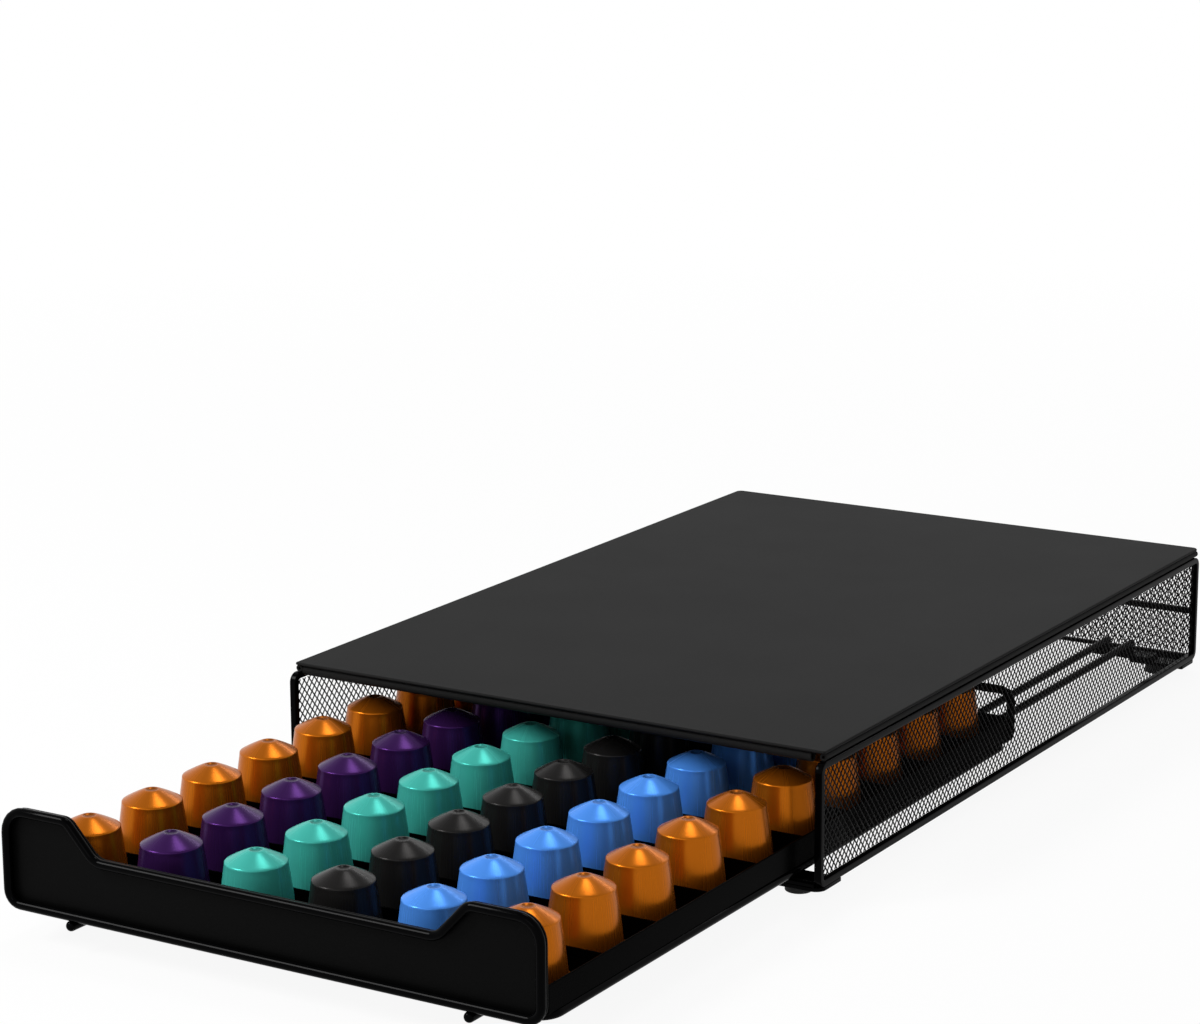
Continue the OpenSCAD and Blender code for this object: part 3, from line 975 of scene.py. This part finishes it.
@dataclass
class Deck:
    """The deck: a flat sheet with round corners, over a hem rolled under each of its sides.

    Attributes:
        corner_least: The radius that a corner keeps when the outline moves inwards.
        flat_inset: How far inside its edge the sheet's flat faces begin.
        front_hem_back: How far the front hem is set back.
        front_short: How far it ends from the deck's left and right sides.
        rear_short, side_short: How far the other hems end from the corners.
    """

    sheet_t: float = 1.3 * MM
    corner_front: float = 1.4 * MM
    corner_rear: float = 3.2 * MM
    corner_least: float = 0.2 * MM
    inset: float = 0.15 * MM
    flat_inset: float = 1.0 * MM
    hem_wall: float = 0.9 * MM
    front_hem_r: float = 2.45 * MM
    front_hem_back: float = 1.3 * MM
    front_short: Pair = (3.4 * MM, 7.5 * MM)
    rear_short: float = 3.4 * MM
    side_short: float = 1.5 * MM
    hem_sides: int = 28
    corner_steps: int = 8
    edge_steps: int = 12
    crease: float = 35.0
    node: str = "top_deck"
    body: str = "housing"
    finish: Finish = Black.DECK.value

    def ring(self, low: Vector, high: Vector, inset: float) -> Points:
        """The sheet's outline, moved inwards.

        Args:
            low: The lowest corner of the deck's box.
            high: Its highest corner.
            inset: How far the outline moves inwards.

        Returns:
            Points of (x, y), anticlockwise.
        """
        points = []
        for quarter in range(4):
            corner = self.corner_rear if quarter < 2 else self.corner_front
            radius = max(corner - inset, self.corner_least)
            reach = inset + radius
            x = low.x + reach if quarter in (1, 2) else high.x - reach
            y = high.y - reach if quarter < 2 else low.y + reach
            for k in range(self.corner_steps + 1):
                angle = pi / 2 * (quarter + k / self.corner_steps)
                points.append((x + radius * cos(angle), y + radius * sin(angle)))
        return points

    def sheet(self, shape: Shape, low: Vector, high: Vector) -> None:
        """Adds the sheet, with round edges, at the top of the deck's box.

        Args:
            shape: The mesh that it goes into.
            low: The lowest corner of the deck's box.
            high: Its highest corner.
        """
        ease = self.sheet_t / 2
        count = self.edge_steps
        angles = (radians(180 * k / count) for k in range(count + 1))
        edge = [(self.flat_inset, 0.0)]
        edge += [(ease - ease * sin(a), ease - ease * cos(a)) for a in angles]
        edge += [(self.flat_inset, self.sheet_t)]
        rings = []
        for inset, drop in edge:
            points = self.ring(low, high, self.inset + inset)
            rings.append([shape.verts.new((x, y, high.z - drop)) for x, y in points])
        shape.faces.new(rings[0])
        shape.faces.new(rings[-1][::-1])
        for upper, lower in zip(rings, rings[1:]):
            band(shape, upper, lower)

    def hem(self, shape: Shape, start: Vector, end: Vector, radius: float) -> None:
        """Adds one hem: a rolled tube whose ends are open.

        Args:
            shape: The mesh that it goes into.
            start: The middle of one end.
            end: The middle of the other.
            radius: The tube's outer radius.
        """
        up = Vector((0, 0, 1))
        out = (end - start).cross(up).normalized()
        rings = []
        for middle in (start, end):
            for reach in (radius, radius - self.hem_wall):
                section = circle(reach, self.hem_sides)
                rings.append([shape.verts.new(middle + out * x + up * z) for x, z in section])
        for a, b in ((0, 2), (2, 3), (3, 1), (1, 0)):
            band(shape, rings[a], rings[b])

    def dress(self) -> None:
        """Builds the sheet and its four hems where the deck of the frame is."""
        low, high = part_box(self.node)
        radius = (high.z - low.z - self.sheet_t) / 2
        shape = bmesh.new()
        self.sheet(shape, low, high)
        z, rear = low.z + radius, high.y - radius
        for x in (low.x + radius, high.x - radius):
            start, end = low.y + self.side_short, high.y - self.side_short
            self.hem(shape, Vector((x, start, z)), Vector((x, end, z)), radius)
        start, end = low.x + self.rear_short, high.x - self.rear_short
        self.hem(shape, Vector((start, rear, z)), Vector((end, rear, z)), radius)
        y = low.y + self.front_hem_back + self.front_hem_r
        z = high.z - self.sheet_t - self.front_hem_r
        start, end = low.x + self.front_short[0], high.x - self.front_short[1]
        self.hem(shape, Vector((start, y, z)), Vector((end, y, z)), self.front_hem_r)
        bmesh.ops.recalc_face_normals(shape, faces=shape.faces)
        piece = new_piece("deck_sheet", shape)
        shade_round(piece, self.crease)
        piece.data.materials.append(self.finish.material())
        stand_in(piece, self.node, self.body, self.finish)


@dataclass
class Pods:
    """The pods of the tray: turned aluminium cups, rim down, in columns of one colour.

    Offsets are of (radius, height) in millimetres, shares of the height of the wall or cone.

    Attributes:
        foil_h: The foil's height in the middle, under the wall and inside the rim.
        bead, bead_arc: The rolled rim's radius, and its angles in degrees.
        flange_out, flange_in: The flange from the rim, and from the wall's foot.
        wall_short: How much lower the wall is than the shoulder.
        brow: The round shoulder, from its own corner.
        belly, crown: How far the wall and the cone over the shoulder bulge.
        lip, dimple, dimple_h: The edge round the tip, the sunken tip and its depth.
    """

    pitch: float = 39.9 * MM
    rim_r: float = 18.5 * MM
    foot_r: float = 15.5 * MM
    shoulder_r: float = 12.6 * MM
    tip_r: float = 2.9 * MM
    cone_r: float = 4.5 * MM
    cone_h: float = 4.2 * MM
    tip_h: float = 0.5 * MM
    foil_h: Triple = (0.35 * MM, 0.3 * MM, 0.12 * MM)
    bead: float = 0.6 * MM
    bead_arc: range = range(-100, 101, 25)
    flange_out: Offsets = ((-1.0, 0.75),)
    flange_in: Offsets = ((0.7, 0.8), (0.2, 1.0), (0.0, 1.5))
    wall_short: float = 2.3 * MM
    wall_shares: tuple[float, ...] = (0.08, 0.2, 0.35, 0.5, 0.65, 0.8, 0.92)
    belly: float = 0.2 * MM
    brow: Offsets = ((0.02, -0.8), (0.02, -0.45), (-0.04, -0.12), (-0.2, 0.12), (-0.5, 0.34))
    cone_shares: tuple[float, ...] = (0.12, 0.3, 0.5, 0.7, 0.88, 1.0)
    crown: float = 0.14 * MM
    lip: Offsets = ((-0.5, -0.3), (-1.0, -0.12))
    dimple: Offsets = ((0.0, 0.0), (-0.3, -0.05), (-0.7, -0.32), (-1.2, -0.55), (-1.9, -0.7))
    dimple_h: float = 0.75 * MM
    sides: int = 80
    body: str = "drawer"
    columns: tuple[tuple[str, PodColour], ...] = (
        ("pods_orange_left", PodColour.ORANGE),
        ("pods_purple", PodColour.PURPLE),
        ("pods_teal", PodColour.TEAL),
        ("pods_charcoal", PodColour.CHARCOAL),
        ("pods_blue", PodColour.BLUE),
        ("pods_orange_right", PodColour.ORANGE),
    )

    def outline(self, height: float) -> Points:
        """The pod's outline from the middle of its foil to the middle of its tip.

        Args:
            height: The pod's height.

        Returns:
            Points of (radius, height).
        """
        rim = self.rim_r - self.bead
        points = list(zip((0.0, self.foot_r, rim - self.bead), self.foil_h))
        for angle in map(radians, self.bead_arc):
            across, up = self.bead * cos(angle), self.bead * sin(angle)
            points.append((rim + across, self.bead + up))
        points += offset((rim, 0.0), self.flange_out)
        points += offset((self.foot_r, 0.0), self.flange_in)
        shoulder = height - self.tip_h - self.cone_h
        low, rise = points[-1][1], shoulder - self.wall_short
        for s in self.wall_shares:
            belly = self.belly * sin(pi * s)
            across = (self.shoulder_r - self.foot_r) * s
            points.append((self.foot_r + across + belly, low + rise * s))
        points += offset((self.shoulder_r, shoulder), self.brow)
        reach, low = points[-1]
        rise = height - self.tip_h - low
        for s in self.cone_shares:
            crown = self.crown * sin(pi * s)
            points.append((reach + (self.cone_r - reach) * s, low + rise * s + crown))
        points += offset((self.cone_r, height), self.lip)
        points += offset((self.tip_r, height), self.dimple)
        return points + [(0.0, height - self.dimple_h)]

    def tree(self) -> GeometryTree:
        """The tree that repeats a pod along a column, each turned its own way."""
        tree = GeometryTree("pod_column")
        count = tree.ask("Pods", int)
        pitch = tree.ask("Pitch")
        seed = tree.ask("Seed", int)
        line = tree.node(
            "GeometryNodeMeshLine",
            {"mode": "OFFSET"},
            {"Count": count, "Offset": tree.vector(0.0, pitch, 0.0)},
        )
        turn = tree.node(
            "FunctionNodeRandomValue",
            {"data_type": "FLOAT"},
            {"Min_001": 0.0, "Max_001": 2 * pi, "Seed": seed},
        )
        about_z = tree.vector(0.0, 0.0, Number(tree, tree.socket(turn.outputs, "Value_001")))
        pods = tree.node(
            "GeometryNodeInstanceOnPoints",
            inputs={"Points": line.outputs[0], "Instance": tree.shape, "Rotation": about_z},
        )
        tree.finish(pods.outputs[0])
        return tree

    def dress(self) -> None:
        """Fills each column of the frame with detailed pods."""
        tree = self.tree()
        for seed, (node, colour) in enumerate(self.columns):
            low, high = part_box(node)
            count = round((high.y - low.y - 2 * self.rim_r) / self.pitch) + 1
            piece = new_piece(f"{node}_turned", turned(self.outline(high.z - low.z), self.sides))
            paint = colour.value.material()
            tree.grow(piece, Pods=count, Pitch=self.pitch, Seed=seed, Material=paint)
            first = Vector(((low.x + high.x) / 2, low.y + self.rim_r, low.z))
            piece.data.transform(Matrix.Translation(first))
            stand_in(piece, node, self.body, colour.value)


def housing() -> Assembly:
    """The fixed part without its deck: frames, rails, tracks, corner plates and feet."""
    eased: dict[str, tuple[float, Black]] = {}
    for side in ("left", "right"):
        eased[f"side_frame_{side}"] = (0.0, Black.BAR)
        for rod in ("outer", "inner"):
            eased[f"track_rod_{side}_{rod}"] = (0.0, Black.BAR)
        for end in ("front", "rear"):
            eased[f"corner_plate_{end}_{side}"] = (PLATE_EASE, Black.BAR)
            eased[f"rubber_foot_{end}_{side}"] = (0.0, Black.RUBBER)
            eased[f"track_tie_{end}_{side}"] = (SHEET_EASE, Black.BAR)
    for bar in ("front_bottom_rail", "rear_bottom_rail", "rear_stop_bar"):
        eased[bar] = (0.0, Black.BAR)
    return Assembly("housing", eased)


def drawer() -> Assembly:
    """The sliding part without its pods: front, tray, dividers, frames and runners."""
    eased: dict[str, tuple[float, Black]] = {
        "front_frame": (0.0, Black.BAR),
        "front_panel": (STRIP_EASE, Black.PANEL),
        "back_frame": (0.0, Black.BAR),
        "bottom_frame": (0.0, Black.BAR),
        "tray": (SHEET_EASE, Black.SHEET),
        "cross_dividers": (STRIP_EASE, Black.SHEET),
        "lengthwise_dividers": (STRIP_EASE, Black.SHEET),
    }
    for side in ("left", "right"):
        eased[f"runner_{side}"] = (0.0, Black.BAR)
        eased[f"runner_keeper_{side}"] = (SHEET_EASE, Black.BAR)
    return Assembly("drawer", eased)


# ---- Studio ----


@dataclass(frozen=True)
class SoftBox:
    """A rectangular lamp that looks at a point, with its second side along a direction."""

    name: str
    place: Triple
    size: Pair
    power: float
    along: Triple = (0.0, 0.0, 1.0)
    aim: Triple = (0.0, -0.1, 0.05)

    def hang(self) -> None:
        """Adds the lamp to the scene."""
        lamp = bpy.data.lights.new(self.name, "AREA")
        lamp.shape = "RECTANGLE"
        lamp.size, lamp.size_y = self.size
        lamp.energy = self.power
        holder = bpy.data.objects.new(self.name, lamp)
        back = (Vector(self.place) - Vector(self.aim)).normalized()
        across = Vector(self.along).cross(back).normalized()
        turn = Matrix((across, back.cross(across), back)).transposed().to_4x4()
        holder.matrix_world = Matrix.Translation(Vector(self.place)) @ turn
        bpy.context.scene.collection.objects.link(holder)


@dataclass(frozen=True)
class Studio:
    """A pale floor, a white surround, soft lamps and the camera.

    Attributes:
        ambient, zenith: How bright the surround is as a light, and when seen overhead.
        dusk: Between which heights of a ray's direction it dims.
        floor_glow: How much of the floor's look is glow, near the object and far off.
        floor_fade: The distances between which that changes.
    """

    eye: Triple = (0.7421, -1.26975, 0.4699)
    azimuth: float = 31.489
    elevation: float = 13.013
    roll: float = -0.259
    lens: float = 100.104
    sensor: float = 36.0
    clip: Pair = (0.05, 60.0)
    ambient: float = 0.35
    zenith: float = 0.5
    dusk: Pair = (0.5, 0.9)
    floor_size: float = 30.0
    floor_glow: Pair = (0.92, 1.0)
    floor_fade: Pair = (0.45, 1.6)
    floor_speck: float = 0.4
    floor_paint: Pair = (0.9, 0.92)
    boxes: tuple[SoftBox, ...] = (
        SoftBox("cone_box", (-0.22, 0.78, 2.74), (0.7, 0.7), 13.0),
        SoftBox(
            "key_box", (-1.2, -1.3, 1.44), (0.6, 0.9), 36.0, (0.0, 0.82, 0.57), (0.0, -0.31, 0.03)
        ),
        SoftBox("long_rod_box", (-0.12, 1.56, 1.17), (0.12, 1.0), 2.0, (1.0, 0.0, 0.0)),
        SoftBox("front_fill", (0.3, -2.2, 1.1), (0.7, 0.9), 3.0, (1.0, 0.0, 0.0)),
    )

    @staticmethod
    def seen(tree: Tree) -> Number:
        """1 for rays that show the surround itself: camera, glossy and transmission rays."""
        path = tree.node("ShaderNodeLightPath").outputs
        kinds = ("Camera", "Glossy", "Transmission")
        rays = [Number(tree, path[f"Is {kind} Ray"]) for kind in kinds]
        return rays[0].at_least(rays[1]).at_least(rays[2])

    def surround(self) -> None:
        """A world that shows white and lights the object at the ambient level."""
        world = bpy.data.worlds.new("studio_white")
        world.use_nodes = True
        tree = Tree(world.node_tree)
        rise = tree.parts(tree.node("ShaderNodeTexCoord").outputs["Generated"])[2]
        low, high = self.dusk
        above = ((rise - low) / (high - low)).clamped()
        shown = 1.0 - above * (1.0 - self.zenith)
        strength = self.ambient + self.seen(tree) * (shown - self.ambient)
        background = tree.node(
            "ShaderNodeBackground", inputs={"Color": WHITE, "Strength": strength}
        )
        tree.node("ShaderNodeOutputWorld", inputs={"Surface": background.outputs[0]})
        bpy.context.scene.world = world

    def floor(self) -> None:
        """A wide pale floor that keeps the object's shadow."""
        shape = bmesh.new()
        bmesh.ops.create_grid(shape, x_segments=2, y_segments=2, size=self.floor_size / 2)
        floor = new_piece("studio_floor", shape)
        material = bpy.data.materials.new("studio_floor_paint")
        tree = ShaderTree(material)
        speck = tree.noise(tree.place(), self.floor_speck, detail=2.0)
        dark, light = ((grey,) * 3 for grey in self.floor_paint)
        diffuse = tree.node(
            "ShaderNodeBsdfDiffuse", inputs={"Color": tree.blend(speck, dark, light)}
        )
        glow = tree.node("ShaderNodeEmission", inputs={"Color": WHITE, "Strength": 1.0})
        x, y, _ = tree.parts(tree.place())
        near, far = self.floor_fade
        away = (((x**2.0 + y**2.0).root() - near) / (far - near)).clamped()
        dim, full = self.floor_glow
        share = dim + away * (full - dim)
        mixed = tree.node(
            "ShaderNodeMixShader",
            inputs={0: self.seen(tree) * share, 1: diffuse.outputs[0], 2: glow.outputs[0]},
        )
        tree.tree.links.new(mixed.outputs[0], tree.output.inputs["Surface"])
        floor.data.materials.append(material)

    def camera(self) -> None:
        """The camera at the picture's angle."""
        a, e, r = (radians(d) for d in (self.azimuth, self.elevation, self.roll))
        right = Vector((cos(a), sin(a), 0.0))
        back = Vector((sin(a) * cos(e), -cos(a) * cos(e), sin(e)))
        up = back.cross(right)
        x_axis = right * cos(r) + up * sin(r)
        y_axis = up * cos(r) - right * sin(r)
        data = bpy.data.cameras.new("studio_camera")
        data.lens, data.sensor_width, data.sensor_fit = self.lens, self.sensor, "HORIZONTAL"
        data.clip_start, data.clip_end = self.clip
        holder = bpy.data.objects.new("studio_camera", data)
        turn = Matrix((x_axis, y_axis, back)).transposed().to_4x4()
        holder.matrix_world = Matrix.Translation(Vector(self.eye)) @ turn
        bpy.context.scene.collection.objects.link(holder)
        bpy.context.scene.camera = holder

    def build(self) -> None:
        """Sets up the whole studio."""
        bpy.context.scene.view_settings.view_transform = "Standard"
        self.surround()
        self.floor()
        for box in self.boxes:
            box.hang()
        self.camera()


# ---- Build ----


def listed(box: tuple[Vector, Vector]) -> list[list[float]]:
    """A box as plain lists of numbers."""
    return [[round(value, SIZE_DIGITS) for value in corner] for corner in box]


def main() -> None:
    """Loads the frame, dresses every sub-assembly and sets up the studio."""
    logging.basicConfig(level=logging.INFO, format="%(name)s: %(message)s")
    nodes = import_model()["nodes"]
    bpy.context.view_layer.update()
    housing().dress(nodes)
    drawer().dress(nodes)
    Deck().dress()
    ExpandedMetal().dress()
    Pods().dress()
    Studio().build()


if __name__ == "__main__":
    main()
